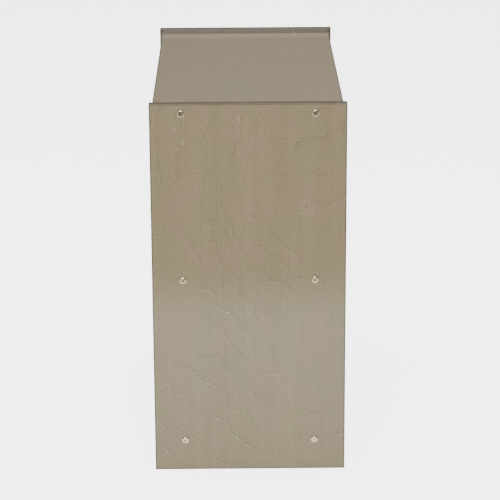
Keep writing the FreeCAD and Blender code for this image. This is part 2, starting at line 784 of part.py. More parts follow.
def cam_lock():
    """A cam lock through the door. Its plug, cam and screw turn together; the cam hangs down unlocked."""
    across = "board + door_gap + lock_from_edge - overall_width / 2"
    face = "front_setback - overall_depth / 2"
    rear = f"{face} + lock_length"
    at = (across, face, "lock_height")
    barrel = rod("lock_barrel", "lock_radius", "lock_length", at, "y")
    rim = rod("lock_rim_disc", "lock_rim_radius", "lock_rim", (across, f"{face} - lock_rim", "lock_height"),
              "y")
    eased = soften("lock_rim_round", rim, 0.8, lambda edge: edge.CenterOfMass.y < front_face - 1
                   and len(edge.Vertexes) == 1)
    seat = rod("lock_seat", "plug_radius + fit_gap", "lock_length + lock_rim + 2",
               (across, f"{face} - lock_rim - 1", "lock_height"), "y")
    node("lock_body", cut("lock_body", fuse("lock_shell", [barrel, eased]), [seat]))

    ring = hexagon("lock_nut_blank", "lock_nut_radius", "lock_nut",
                   (across, f"{face} + board", "lock_height"), "y")
    hole = rod("lock_nut_thread", "lock_radius + fit_gap", "lock_nut + 2",
               (across, f"{face} + board - 1", "lock_height"), "y")
    node("lock_nut", cut("lock_nut", ring, [hole]))

    plug = rod("plug_barrel", "plug_radius", "lock_length + lock_rim + plug_proud",
               (across, f"{face} - lock_rim", "lock_height"), "y")
    hub = rod("plug_hub", "cam_hub_radius", "cam_thickness", (across, f"{rear} + plug_proud", "lock_height"),
              "y")
    keyway = box("keyway", ("key_slot_width", "key_slot_depth + 1", "key_slot_height"),
                 (f"{across} - key_slot_width / 2", f"{face} - lock_rim - 1",
                  "lock_height - key_slot_height / 2"))
    screw_at = (-half_width + board + size("door_gap") + size("lock_from_edge"),
                front_face + size("lock_length") + size("plug_proud") + size("cam_thickness"),
                size("lock_height"))
    screw_hole = drive_screws("cam_screw", "trim", [(screw_at, Y)])
    node("lock_plug", cut("lock_plug", fuse("plug_solid", [plug, hub]), [keyway, screw_hole]))

    blade = box("cam_blade", ("cam_width", "cam_thickness", "cam_reach"),
                (f"{across} - cam_width / 2", f"{rear} + plug_proud", "lock_height - cam_reach"))
    boss = rod("cam_boss", "cam_width / 2", "cam_thickness", (across, f"{rear} + plug_proud", "lock_height"),
               "y")
    eye = rod("cam_eye", "cam_hub_radius + fit_gap", "cam_thickness + 2",
              (across, f"{rear} + plug_proud - 1", "lock_height"), "y")
    low_end = size("lock_height") - size("cam_reach") + 1
    rounded = soften("cam_round", fuse("cam_solid", [blade, boss]), size("cam_corner"),
                     lambda edge: runs_along(Y)(edge) and edge.CenterOfMass.z < low_end)
    node("lock_cam", cut("lock_cam", rounded, [eye]))
    return rod("lock_hole", "lock_radius + let_in_gap", "board + 2", (across, f"{face} - 1", "lock_height"),
               "y")


def lock_strike():
    """A bent plate on the left side panel that the cam turns in behind."""
    lip_y = "front_setback + lock_length - overall_depth / 2 - cam_gap - lock_strike_plate"
    wall = "board - overall_width / 2"
    low = "lock_height - lock_strike_height / 2"
    leg = box("strike_leg", ("lock_strike_plate", "lock_strike_depth", "lock_strike_height"),
              (wall, lip_y, low))
    lip = box("strike_lip", ("lock_strike_lip", "lock_strike_plate", "lock_strike_height"),
              (wall, lip_y, low))
    screw_y = front_face + size("lock_length") + size("lock_strike_screw_back")
    spots = [((-inner + size("lock_strike_plate"), screw_y,
               size("lock_height") + side * size("lock_strike_screw_rise")), X) for side in SIDES]
    holes = drive_screws("lock_strike_screws", "small", spots)
    node("lock_strike", cut("lock_strike", fuse("strike_solid", [leg, lip]), [holes]))
    return holes


# ---- brackets, mat and the screws of the boards ----

BRACKET_HOLE_SHARE = 0.6
CLEAT_SCREW_SHARES = (0.28, 0.52, 0.76)
CHUTE_SCREW_SHARES = (0.4, 0.64)

def angle_brackets():
    """Steel angles that hold the fascia and the top of the back panel."""
    leg_a = box("bracket_upright", ("bracket_width", "bracket_plate", "bracket_leg"),
                ("-bracket_width / 2", "0", "0"))
    leg_b = box("bracket_foot", ("bracket_width", "bracket_leg", "bracket_plate"),
                ("-bracket_width / 2", "0", "0"))
    angle = fuse("bracket_solid", [leg_a, leg_b])
    hole_at = f"{BRACKET_HOLE_SHARE} * bracket_leg"
    hole_a = rod("bracket_hole_a", "bracket_hole_radius", "4 * bracket_plate",
                 ("0", "-bracket_plate", hole_at), "y")
    hole_b = rod("bracket_hole_b", "bracket_hole_radius", "4 * bracket_plate",
                 ("0", hole_at, "-bracket_plate"))
    bracket = cut("bracket", angle, [hole_a, hole_b])
    doc.recompute()
    ceiling = top_level - board / 2
    plate_thick = size("bracket_plate")
    middle = BRACKET_HOLE_SHARE * size("bracket_leg")
    placements = []
    spots = []
    for end in ENDS:
        x = end * size("bracket_spread")
        for y, z, ahead, up in ((front_rear, shelf_top, Y, Z), (front_rear, ceiling, Y, -Z),
                                (back_inside, ceiling, -Y, -Z)):
            turn = FreeCAD.Rotation(ahead.cross(up), ahead, up, "XYZ")
            corner = V(x, y, z)
            placements.append(FreeCAD.Placement(corner, turn))
            upright_length = ahead * plate_thick + up * middle
            foot_length = up * plate_thick + ahead * middle
            spots.append((corner + upright_length, ahead))
            spots.append((corner + foot_length, up))
    node("angle_brackets", group("angle_brackets", bracket, placements))
    thick_spots = [spot for spot in spots if spot[1] != -Y]
    thin_spots = [spot for spot in spots if spot[1] == -Y]
    thick_holes = drive_screws("angle_bracket_screws", "small", thick_spots)
    thin_holes = drive_screws("back_bracket_screws", "short", thin_spots)
    return thick_holes, thin_holes


def landing_mat():
    """A rubber mat that books land on."""
    body = plate("mat_sheet", "XY_Plane", "mat_width", "mat_depth", "mat_thickness")
    round_body(body, runs_along(Z), "mat_corner")
    place(body, ("-mat_width / 2", "mat_back - mat_depth / 2", "bottom_bolt_height + board / 2"))
    node("landing_mat", body)


def board_screws():
    """Screws through the back panel, the bottom board, the trim plate, the cleats and the chute."""
    back_xs = [k * size("back_screw_pitch") for k in (-2, -1, 0, 1, 2)]
    rail_xs = [k * size("rail_screw_spread") for k in (-1, 0, 1)]
    trim_xs = [k * size("trim_screw_spread") for k in (-1, 0, 1)]
    back = drive_screws("back_panel_screws", "board",
                        [((x, back_outside, level), Y) for level in levels[1:] for x in back_xs])
    rail_front = -half_depth + size("front_rail_setback") + board / 2
    rail_rear = half_depth - size("rear_rail_setback") - board / 2
    rails = drive_screws("toe_rail_screws", "long",
                         [((x, y, floor_top), Z) for y in (rail_front, rail_rear) for x in rail_xs],
                         sunk=True)
    trim_reach = slot_half_height + size("trim_border") / 2
    trim = drive_screws("slot_trim_screws", "trim",
                        [((x, front_face - size("trim_plate"), slot_centre + side * trim_reach), -Y)
                         for side in SIDES for x in trim_xs])

    slope = math.hypot(size("chute_rise"), size("chute_run"))
    down = V(0, size("chute_run"), -size("chute_rise")) / slope
    face_out = V(0, size("chute_rise"), size("chute_run")) / slope
    head = V(0, front_rear, shelf_top + size("chute_rise"))
    centre_line = size("thin_board") + size("cleat_depth") / 2
    cleat_spots = []
    chute_spots = []
    for end in ENDS:
        for share in CLEAT_SCREW_SHARES:
            on_line = head + down * (slope * share) - face_out * centre_line
            cleat_spots.append((on_line + X * (end * (inner - board)), X * -end))
        for share in CHUTE_SCREW_SHARES:
            chute_spots.append((head + down * (slope * share) + X * (end * (inner - board / 2)), face_out))
    cleats = drive_screws("chute_cleat_screws", "cleat", cleat_spots)
    chute = drive_screws("chute_board_screws", "board", chute_spots, sunk=True)
    return back, rails, trim, cleats, chute


# ---- the whole box ----

connector_holes = connector_hardware()
back_holes, rail_holes, trim_holes, cleat_holes, chute_holes = board_screws()
bracket_holes, back_bracket_holes = angle_brackets()
catch_holes, catch_strike_holes = magnetic_catch()
strike_holes = lock_strike()
lock_hole = cam_lock()
pull_holes = door_pull()

standoff = size("knuckle_radius") + size("knuckle_standoff")
flap_rear = front_rear + size("flap_clearance") + size("flap_thickness")
flap_axis_height = slot_centre + slot_half_height + size("flap_overlap_high") + size("flap_axis_rise")
flap_starts = [(end * size("flap_hinge_spread") - size("hinge_length") / 2, flap_rear + standoff,
                flap_axis_height)
               for end in ENDS]
flap_fixed_holes, flap_moving_holes = hang("flap", ("hinge", "short"), flap_starts, (Z, -Y), (-Z, -Y), X)
door_starts = [(inner - standoff, front_face - standoff, size(word))
               for word in ("door_hinge_low", "door_hinge_high")]
door_fixed_holes, door_moving_holes = hang("door", ("hinge", "hinge"), door_starts, (Y, X), (-X, Y), Z)

side_panel("side_panel_right", 1, [connector_holes, cleat_holes, door_fixed_holes])
side_panel("side_panel_left", -1, [connector_holes, cleat_holes, strike_holes])
level_board("top_panel", "top_bolt_height", "reveal", [connector_holes, bracket_holes])
level_board("mid_shelf", "middle_bolt_height", "back_setback - thin_board",
            [connector_holes, bracket_holes, back_holes, catch_holes], opening=True)
level_board("bottom_panel", "bottom_bolt_height", "back_setback - thin_board",
            [connector_holes, rail_holes, back_holes])
front_fascia([bracket_holes, trim_holes, flap_fixed_holes])
back_panel([back_holes, back_bracket_holes])
toe_rail("toe_kick_front", "front_rail_setback - overall_depth / 2", [rail_holes])
toe_rail("toe_rail_rear", "overall_depth / 2 - rear_rail_setback - board", [rail_holes])
sloped_board("chute_board", "0", "thin_board", "board - overall_width / 2", "overall_width - 2 * board",
             [chute_holes])
sloped_board("chute_cleat_right", "thin_board", "cleat_depth", "overall_width / 2 - 2 * board", "board",
             [chute_holes, cleat_holes])
sloped_board("chute_cleat_left", "thin_board", "cleat_depth", "board - overall_width / 2", "board",
             [chute_holes, cleat_holes])
slot_trim([trim_holes])
flap_mounting([flap_fixed_holes])
flap_panel([flap_moving_holes])
access_door([pull_holes, lock_hole, catch_strike_holes, door_moving_holes])
landing_mat()

doc.recompute()
failed = [thing.Name for thing in doc.Objects if "Invalid" in thing.State or "Error" in thing.State]
if failed:
    sys.exit(f"failed objects: {failed}")
for piece in nodes:
    if piece.Shape.isNull() or not piece.Shape.isValid() or not piece.Shape.Solids:
        sys.exit(f"bad shape: {piece.Label}")

os.makedirs("parts", exist_ok=True)
for piece in nodes:
    piece.Shape.exportStep(f"parts/{piece.Label}.step")
print(len(nodes), "sub-parts")
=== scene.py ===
import json
import math

import bmesh
import bpy
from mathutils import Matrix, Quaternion, Vector


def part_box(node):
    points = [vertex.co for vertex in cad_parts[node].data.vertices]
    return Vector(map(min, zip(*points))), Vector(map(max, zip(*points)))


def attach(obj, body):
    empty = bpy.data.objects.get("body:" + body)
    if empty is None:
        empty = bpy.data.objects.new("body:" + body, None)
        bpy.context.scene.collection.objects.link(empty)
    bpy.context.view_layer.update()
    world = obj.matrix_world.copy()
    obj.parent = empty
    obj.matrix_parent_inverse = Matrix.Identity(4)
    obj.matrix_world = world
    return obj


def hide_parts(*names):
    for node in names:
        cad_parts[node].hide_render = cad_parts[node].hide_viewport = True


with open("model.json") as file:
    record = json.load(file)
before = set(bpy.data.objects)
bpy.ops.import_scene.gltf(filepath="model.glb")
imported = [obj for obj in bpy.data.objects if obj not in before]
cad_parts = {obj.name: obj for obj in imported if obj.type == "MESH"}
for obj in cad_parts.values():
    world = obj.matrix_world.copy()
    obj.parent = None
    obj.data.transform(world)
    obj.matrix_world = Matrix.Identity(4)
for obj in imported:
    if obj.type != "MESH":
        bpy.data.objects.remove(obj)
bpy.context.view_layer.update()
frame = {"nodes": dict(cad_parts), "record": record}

# A book drop box in stained plywood: grey-brown lacquered boards, nickel connector bolts and hinges,
# brushed steel slot trim and pull, a black flap and a ribbed rubber mat. Metres, +Z up, -Y the front.

MM = 0.001


# ---- shader maths ----

class Wire:
    """A shader socket that can be added, multiplied and compared."""

    def __init__(self, finish, socket):
        self.finish = finish
        self.socket = socket

    def maths(self, operation, *values):
        return self.finish.node("ShaderNodeMath", {"operation": operation}, dict(enumerate(values)))

    def __add__(self, other):
        return self.maths("ADD", self, other)

    def __radd__(self, other):
        return self.maths("ADD", other, self)

    def __sub__(self, other):
        return self.maths("SUBTRACT", self, other)

    def __rsub__(self, other):
        return self.maths("SUBTRACT", other, self)

    def __mul__(self, other):
        return self.maths("MULTIPLY", self, other)

    def __rmul__(self, other):
        return self.maths("MULTIPLY", other, self)

    def __truediv__(self, other):
        return self.maths("DIVIDE", self, other)

    def __gt__(self, other):
        return self.maths("GREATER_THAN", self, other)

    def __abs__(self):
        return self.maths("ABSOLUTE", self)

    def lesser(self, other):
        return self.maths("MINIMUM", self, other)

    def greater(self, other):
        return self.maths("MAXIMUM", self, other)

    def sawtooth(self):
        return self.maths("FRACT", self)

    def root(self):
        return self.maths("SQRT", self)

    def step(self, low, high):
        """Runs smoothly from 0 at low to 1 at high."""
        ends = {"Value": self, "From Min": low, "From Max": high}
        return self.finish.node("ShaderNodeMapRange", {"interpolation_type": "SMOOTHSTEP"}, ends)


class Finish:
    """A material in the making, with one Principled shader."""

    def __init__(self, name, **shader):
        self.material = bpy.data.materials.new(name)
        self.material.use_nodes = True
        self.tree = self.material.node_tree
        self.tree.nodes.clear()
        output = self.tree.nodes.new("ShaderNodeOutputMaterial")
        self.shader = self.tree.nodes.new("ShaderNodeBsdfPrincipled")
        self.tree.links.new(self.shader.outputs[0], output.inputs[0])
        for socket, value in shader.items():
            self.shader.inputs[socket.replace("_", " ")].default_value = value

    def node(self, kind, settings=None, inputs=None, out=0):
        """Adds a node: its settings first, then its sockets' values or links."""
        node = self.tree.nodes.new(kind)
        for setting, value in (settings or {}).items():
            setattr(node, setting, value)
        for socket, value in (inputs or {}).items():
            if isinstance(value, Wire):
                self.tree.links.new(value.socket, node.inputs[socket])
            else:
                node.inputs[socket].default_value = value
        return Wire(self, node.outputs[out])

    def spot(self):
        """Object coordinates, as one wire."""
        return self.node("ShaderNodeTexCoord", out=3)

    def place(self):
        """Object coordinates, as three wires."""
        whole = self.spot()
        return [self.node("ShaderNodeSeparateXYZ", {}, {0: whole}, out=k) for k in range(3)]

    def vector(self, x, y, z):
        return self.node("ShaderNodeCombineXYZ", {}, {0: x, 1: y, 2: z})

    def noise(self, vector, detail=2.0, roughness=0.5, scale=1.0):
        """Smooth noise, with about one cell in each unit of the vector times scale."""
        inputs = {"Vector": vector, "Scale": scale, "Detail": detail, "Roughness": roughness}
        return self.node("ShaderNodeTexNoise", {}, inputs)

    def blend(self, share, first, second):
        """A colour between two colours."""
        return self.node("ShaderNodeMix", {"data_type": "RGBA"}, {0: share, 6: first, 7: second}, out=2)

    def tint(self, colour, strength):
        """A colour made lighter or darker by a wire about 1."""
        return self.node("ShaderNodeVectorMath", {"operation": "SCALE"}, {0: colour, "Scale": strength})

    def paint(self, **links):
        """Links wires to the shader's sockets."""
        for socket, wire in links.items():
            self.tree.links.new(wire.socket, self.shader.inputs[socket.replace("_", " ")])

    def relief(self, height, depth):
        """Raises the surface by a wire from 0 to 1 times depth."""
        bump = self.node("ShaderNodeBump", {}, {"Height": height, "Distance": depth, "Strength": 1.0})
        self.paint(Normal=bump)


def shade(colour, share):
    """A darker colour, with the same hue."""
    return tuple(share * part for part in colour[:3]) + (1,)


def dress(node, material):
    """Gives a CAD node its finish."""
    thing = frame["nodes"][node]
    for slot in thing.material_slots:
        slot.material = material
    if not thing.material_slots:
        thing.data.materials.append(material)


# ---- stained plywood ----

STAIN_WARM = (0.285, 0.213, 0.132, 1)
STAIN_OLIVE = (0.266, 0.215, 0.125, 1)
STAIN_PALE = (0.56, 0.46, 0.30, 1)
STAIN_DEEP = (0.120, 0.092, 0.058, 1)
# a dark colour painted on as shade, on the end panels' inner faces above the deck
TRAY_SHADE_COLOUR = (0.118, 0.084, 0.052, 1)
ARRIS_DARK = (0.098, 0.088, 0.060, 1)
EDGE_LONG_GRAIN = (0.140, 0.108, 0.069, 1)
EDGE_END_GRAIN = (0.080, 0.061, 0.039, 1)
LACQUER = 0.9

# a ply's thickness, the outermost veneer's, where an edge's stripes are full, and where an arris darkens
PLY = 1.39 * MM
FACE_VENEER = 0.25 * MM
STRIPES_FULL = 0.9 * MM
ARRIS = (-3.6 * MM, -2.0 * MM)

# growth rings: how blunt they are at the heart, how far they drift, the short way over which their slope is
# taken, and the least slope in rings a metre
HEART_BLUNT = 0.0009
RING_DRIFT = 3.2
NEARBY = 1 * MM
LEAST_STEEPNESS = 3

# the pale line along a ring and the dark one beside it: where each starts to fade, and where it is gone
HAIRLINE = (0.25 * MM, 1.1 * MM)
SHADE_LINE = (0.3 * MM, 1.1 * MM)
SHADE_LINE_AWAY = 1.9 * MM

# the inner faces of the end panels above the deck, painted darker as shade where they meet the deck
DECK_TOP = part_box("top_panel")[1].z
INNER_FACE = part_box("side_panel_right")[0].x
TRAY_WALL = (INNER_FACE + 0.2 * MM, INNER_FACE + 1.0 * MM)

# node: thickness axis, grain axis, how strongly the figure shows, the heart that the rings curve round
# (across and along the grain), the rings' pitch, and how round they are
BOARDS = {
    "side_panel_right": (0, 2, 1.0, (0.150, 0.640), 42 * MM, 0.72),
    "side_panel_left": (0, 2, 0.9, (-0.120, 0.240), 44 * MM, 0.60),
    "top_panel": (2, 0, 0.25, (0.10, -0.90), 60 * MM, 0.30),
    "mid_shelf": (2, 0, 0.6, (0.30, 0.20), 45 * MM, 0.30),
    "bottom_panel": (2, 0, 0.6, (-0.30, -0.20), 45 * MM, 0.30),
    "back_panel": (1, 2, 0.7, (-0.10, 0.95), 52 * MM, 0.45),
    "front_fascia": (1, 0, 0.55, (0.90, 0.12), 46 * MM, 0.34),
    "toe_kick_front": (1, 0, 0.6, (0.15, 0.20), 40 * MM, 0.20),
    "toe_rail_rear": (1, 0, 0.6, (0.15, -0.20), 40 * MM, 0.20),
    "access_door": (1, 0, 0.55, (-0.10, -0.10), 46 * MM, 0.36),
    "flap_batten": (1, 0, 0.6, (0.90, 0.00), 40 * MM, 0.20),
    "chute_board": (None, 1, 0.6, (0.20, 0.00), 45 * MM, 0.30),
    "chute_cleat_right": (0, 1, 0.5, (0.20, 0.00), 40 * MM, 0.20),
    "chute_cleat_left": (0, 1, 0.5, (0.20, 0.00), 40 * MM, 0.20),
}

# node: where the pin knot lies in its face, across and along the grain
PIN_KNOTS = {"side_panel_right": (0.118, 0.578)}
KNOT_RIM = 2.6 * MM
KNOT_SWIRL = (3 * MM, 24 * MM)


class Plywood(Finish):
    """Rotary-cut birch ply under a grey-brown stain and satin lacquer, laid to one board's size.
    u runs across the grain, v along it and w through the board."""

    def __init__(self, board, number, thickness, grain, figure, heart, pitch, roundness):
        super().__init__(f"stained_plywood_{board}", Specular_IOR_Level=0.15, Coat_Weight=LACQUER,
                         Coat_Roughness=0.10)
        self.low, self.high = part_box(board)
        self.thickness = thickness
        self.grain = grain
        self.side = [axis for axis in range(3) if axis not in (thickness, grain)][0]
        self.figure = figure
        self.heart = heart
        self.pitch = pitch
        self.roundness = roundness
        self.seed = 3.7 * number
        self.xyz = self.place()
        self.u = self.xyz[self.side]
        self.v = self.xyz[grain]
        self.w = self.xyz[2 if thickness is None else thickness]
        self.cover(PIN_KNOTS.get(board))

    def marks(self, across, along, through, seeded=0, **look):
        """Noise with so many cells in a metre each way, shifted one way by the board's own seed."""
        spot = [self.u * across, self.v * along, self.w * through]
        spot[seeded] += self.seed
        return self.noise(self.vector(*spot), **look)

    def past_face(self, place, axis):
        """How far a place on an axis lies outside the board, negative inside it."""
        middle = (self.low[axis] + self.high[axis]) / 2
        half = (self.high[axis] - self.low[axis]) / 2
        return abs(place - middle) - half

    def ring_count(self, u, v):
        """How many growth rings lie between a point and the heart."""
        du = u - self.heart[0]
        dv = (v - self.heart[1]) * self.roundness
        spot = self.vector(u * 7.5 + self.seed, v * (6.4 * self.roundness), self.w * 0.5)
        drift = self.noise(spot, detail=1.6)
        return (du * du + dv * dv + HEART_BLUNT).root() / self.pitch + drift * RING_DRIFT

    def growth_lines(self):
        """The pale broken hairlines along the rings, their dark companions, and the dark late wood."""
        rings = self.ring_count(self.u, self.v)
        slope_u = (self.ring_count(self.u + NEARBY, self.v) - rings) / NEARBY
        slope_v = (self.ring_count(self.u, self.v + NEARBY) - rings) / NEARBY
        steepness = (slope_u * slope_u + slope_v * slope_v + LEAST_STEEPNESS ** 2).root()
        swerve = self.marks(26, 27 * self.roundness, 4)
        wobble = self.marks(110, 85, 10, detail=2.5)
        growth = (rings + swerve * 1.1 + wobble * 0.2).sawtooth()
        from_line = (0.5 - abs(growth - 0.5)) / steepness
        from_shade_line = abs((1 - growth) / steepness - SHADE_LINE_AWAY)

        dashes = self.marks(48, 40, 1, seeded=1, detail=3.0, roughness=0.65).step(0.44, 0.56)
        patches = self.marks(5.5, 4.5, 1, detail=1.0).step(0.30, 0.50)
        grit = self.marks(420, 340, 50, seeded=1, detail=1.0).step(0.32, 0.56)
        shown = dashes * patches * self.figure
        hairline = (1 - from_line.step(*HAIRLINE)) * shown * (grit * 0.7 + 0.3)
        shade_line = (1 - from_shade_line.step(*SHADE_LINE)) * shown * grit
        late_wood = growth.step(0.62, 1.0) * (patches * self.figure)
        return hairline, shade_line, late_wood

    def knotted(self, face, knot_u, knot_v):
        """A face's colour with a small dark ring and core in a pale swirl."""
        du = self.u - knot_u
        dv = self.v - knot_v
        away = (du * du + dv * dv * 0.8).root()
        rim = (1 - abs(away - KNOT_RIM).step(0.4 * MM, 1.3 * MM)) * 0.55
        core = (1 - away.step(0.2 * MM, 1.2 * MM)) * 0.3
        swirl = (1 - away.step(*KNOT_SWIRL)) * 0.08
        return self.blend(rim + core, self.blend(swirl, face, STAIN_PALE), STAIN_DEEP)

    def striped_edge(self, streaks):
        """The edge's colour: plies of long grain and end grain by turns, with dark glue lines."""
        ply_count = ((self.w - self.low[self.thickness]) / (2 * PLY)).sawtooth()
        crossed = ply_count > 0.5
        glue = 1 - abs(ply_count - 0.5).step(0.01, 0.06)
        end_pores = self.noise(self.vector(self.u, self.v, self.w), detail=1.0, scale=700.0).step(0.45, 0.7)
        edge = self.blend(crossed, EDGE_LONG_GRAIN, EDGE_END_GRAIN)
        edge = self.blend(glue * 0.35, edge, STAIN_DEEP)
        edge = self.blend(end_pores * crossed * 0.35, edge, STAIN_DEEP)
        return self.tint(edge, (streaks - 0.5) * 0.3 + 1.0)

    def cover(self, knot):
        """Paints the stained faces, the edges and the lacquer."""
        hairline, shade_line, late_wood = self.growth_lines()
        broad = self.marks(15, 9, 3, detail=3.0)
        bands = self.marks(34, 1.1, 9)
        streaks = self.marks(150, 5, 60, detail=3.0, roughness=0.6)
        flecks = self.marks(330, 210, 200, roughness=0.6)
        fibres = self.marks(1100, 60, 400)
        pores = self.marks(1500, 240, 800, seeded=1, detail=0.0).step(0.66, 0.74)

        tone = self.blend(broad.step(0.38, 0.62), STAIN_WARM, STAIN_OLIVE)
        if self.thickness == 0:
            # painted shade: the end panels' inner faces above the deck are painted darker
            above_deck = self.xyz[2].step(DECK_TOP - 1 * MM, DECK_TOP + 1 * MM)
            painted_tray_shade = above_deck * (1 - abs(self.w).step(*TRAY_WALL))
            tone = self.blend(painted_tray_shade, tone, TRAY_SHADE_COLOUR)
        strength = (bands - 0.5) * (0.22 * self.figure) + (streaks - 0.5) * 0.14
        strength = strength + (flecks - 0.5) * (0.35 + 0.35 * self.figure)
        strength = strength + (fibres - 0.5) * 0.08 - late_wood * 0.08 + 1.0
        face = self.tint(tone, strength)
        face = self.blend(shade_line * 0.30, face, STAIN_DEEP)
        face = self.blend(hairline * 0.50, face, STAIN_PALE)
        face = self.blend(pores * 0.3, face, STAIN_DEEP)
        if knot:
            face = self.knotted(face, *knot)

        roughness = (streaks - 0.5) * 0.10 + (broad - 0.5) * 0.06 + 0.42
        if self.thickness is not None:
            past_sides = self.past_face(self.u, self.side)
            past_ends = self.past_face(self.v, self.grain)
            face = self.blend(past_sides.greater(past_ends).step(*ARRIS) * 0.80, face, ARRIS_DARK)
            inside = 1 - self.past_face(self.w, self.thickness).step(-STRIPES_FULL, -FACE_VENEER)
            face = self.blend(inside, face, self.striped_edge(streaks))
            roughness = roughness + inside * 0.45
            self.paint(Coat_Weight=LACQUER - inside * LACQUER)
        self.paint(Base_Color=face, Roughness=roughness)
        self.relief(streaks * 0.4 + flecks * 0.3 - pores * 0.5 + 0.5, 0.05 * MM)


for count, (board, cut) in enumerate(BOARDS.items(), start=1):
    dress(board, Plywood(board, count, *cut).material)


# ---- metals, plastics and rubbers ----

def polished(name, colour, roughness, wear):
    """Plated metal with faint rub marks, rougher in its recesses and painted dark there as shade."""
    finish = Finish(name, Metallic=1.0)
    opened = finish.node("ShaderNodeAmbientOcclusion", {"samples": 6}, {"Distance": 3 * MM}, out=1)
    shaded_recess = 1 - opened.step(0.35, 0.92)
    smudge = finish.noise(finish.spot(), detail=3.0, scale=60.0)
    rubs = finish.noise(finish.spot(), detail=4.0, roughness=0.7, scale=900.0)
    base = finish.blend(smudge.step(0.35, 0.7), colour, shade(colour, 0.86))
    # painted shade: the colour goes nearly black where the ambient occlusion finds a recess
    base = finish.blend(shaded_recess * 0.95, base, shade(colour, 0.09))
    finish.paint(Base_Color=base, Roughness=smudge * wear + rubs * wear * 0.6 + shaded_recess * 0.2 + roughness)
    finish.relief(rubs, 0.004 * MM)
    return finish.material


def brushed(name, colour, axis):
    """Sheet steel with a straight brushed grain along one axis."""
    finish = Finish(name, Metallic=1.0)
    xyz = finish.place()

    def combed(along, across):
        """Coordinates with so many cells in a metre along the grain and across it."""
        return finish.vector(*(xyz[k] * (along if k == axis else across) for k in range(3)))

    lines = finish.noise(combed(9, 2200), detail=3.0, roughness=0.65)
    sweeps = finish.noise(combed(5, 260))
    cloud = finish.noise(finish.spot(), scale=25.0)
    base = finish.blend(cloud, colour, shade(colour, 0.86))
    base = finish.tint(base, lines * 0.5 + sweeps * 0.6 + 0.45)
    finish.paint(Base_Color=base, Roughness=lines * 0.22 + cloud * 0.08 + sweeps * 0.10 + 0.17)
    finish.relief(lines, 0.01 * MM)
    return finish.material


def grained_plastic(name, colour, grain_size, roughness):
    """Black sheet or moulding with a fine pebble grain and pale scuffs."""
    finish = Finish(name, Specular_IOR_Level=0.4)
    x, y, z = finish.place()
    cells = finish.node("ShaderNodeTexVoronoi", {"feature": "SMOOTH_F1"},
                        {"Vector": finish.spot(), "Scale": 1 / grain_size, "Smoothness": 0.6})
    scuffs = finish.noise(finish.vector(x * 300, y * 300, z * 14), detail=3.0).step(0.6, 0.75)
    haze = finish.noise(finish.spot(), scale=12.0)
    base = finish.tint(finish.blend(scuffs * 0.10, colour, SCUFF_GREY), haze * 0.3 + 0.85)
    finish.paint(Base_Color=base, Roughness=cells * 0.12 + haze * 0.08 + roughness)
    finish.relief(cells, 0.08 * MM)
    return finish.material


def matt_rubber(name, colour):
    """Dull rubber with dust on it."""
    finish = Finish(name, Specular_IOR_Level=0.35)
    dust = finish.noise(finish.spot(), detail=5.0, roughness=0.7, scale=22.0)
    speckle = finish.noise(finish.spot(), scale=1400.0)
    dusted = dust.step(0.5, 0.85) * 0.25 + speckle.step(0.6, 0.8) * 0.15
    finish.paint(Base_Color=finish.blend(dusted, colour, DUST_GREY), Roughness=dust * 0.2 + 0.62)
    finish.relief(speckle, 0.03 * MM)
    return finish.material


def turned_beech():
    """Pale beech with its grain along X and short dark flecks."""
    finish = Finish("turned_beech")
    x, y, z = finish.place()
    lines = finish.noise(finish.vector(x * 40, y * 900, z * 900), detail=3.0)
    flecks = finish.noise(finish.vector(x * 300, y * 1600, z * 1600), detail=1.0).step(0.6, 0.7)
    base = finish.blend(lines, BEECH_DARK, BEECH_PALE)
    finish.paint(Base_Color=finish.blend(flecks * 0.4, base, BEECH_FLECK), Roughness=lines * 0.2 + 0.5)
    finish.relief(lines, 0.05 * MM)
    return finish.material


NICKEL = (0.60, 0.555, 0.50, 1)
BRIGHT_NICKEL = (1.0, 0.76, 0.53, 1)
SCREW_STEEL = (0.44, 0.43, 0.42, 1)
ZINC = (0.66, 0.67, 0.69, 1)
FERRITE = (0.10, 0.10, 0.105, 1)
SHEET_STEEL = (0.40, 0.39, 0.375, 1)
FLAP_BLACK = (0.026, 0.026, 0.027, 1)
MOULDED_BLACK = (0.028, 0.028, 0.030, 1)
MAT_BLACK = (0.040, 0.042, 0.045, 1)
BUMPER_GREY = (0.24, 0.24, 0.24, 1)
SCUFF_GREY = (0.16, 0.16, 0.16, 1)
DUST_GREY = (0.2, 0.2, 0.195, 1)
BEECH_DARK = (0.60, 0.42, 0.26, 1)
BEECH_PALE = (0.72, 0.54, 0.36, 1)
BEECH_FLECK = (0.36, 0.22, 0.12, 1)

steel_heads = polished("steel_screw_heads", SCREW_STEEL, 0.24, 0.12)
mat_rubber = matt_rubber("mat_rubber", MAT_BLACK)

SLOT_FINISHES = {
    "nickel_plate": polished("nickel_plate", NICKEL, 0.20, 0.12),
    "zinc_steel": polished("zinc_plate", ZINC, 0.26, 0.2),
    "satin_steel": brushed("brushed_steel_long", SHEET_STEEL, 0),
    "magnet_ferrite": polished("ground_ferrite", FERRITE, 0.42, 0.2),
    "flap_plastic": grained_plastic("grained_black_sheet", FLAP_BLACK, 0.9 * MM, 0.46),
    "black_plastic": grained_plastic("moulded_black", MOULDED_BLACK, 0.5 * MM, 0.36),
    "mat_rubber": mat_rubber,
    "bumper_rubber": matt_rubber("bumper_rubber", BUMPER_GREY),
    "beech": turned_beech(),
}
NODE_FINISHES = {
    "door_pull": brushed("brushed_steel_upright", SHEET_STEEL, 2),
    "door_pull_screws": steel_heads,
    "slot_trim_screws": steel_heads,
    "connector_bolts": polished("bright_nickel_plate", BRIGHT_NICKEL, 0.17, 0.06),
}
for part in frame["record"]["subparts"]:
    if part["material_slot"] in SLOT_FINISHES:
        dress(part["node"], SLOT_FINISHES[part["material_slot"]])
for node, material in NODE_FINISHES.items():
    dress(node, material)


# ---- mesh helpers ----

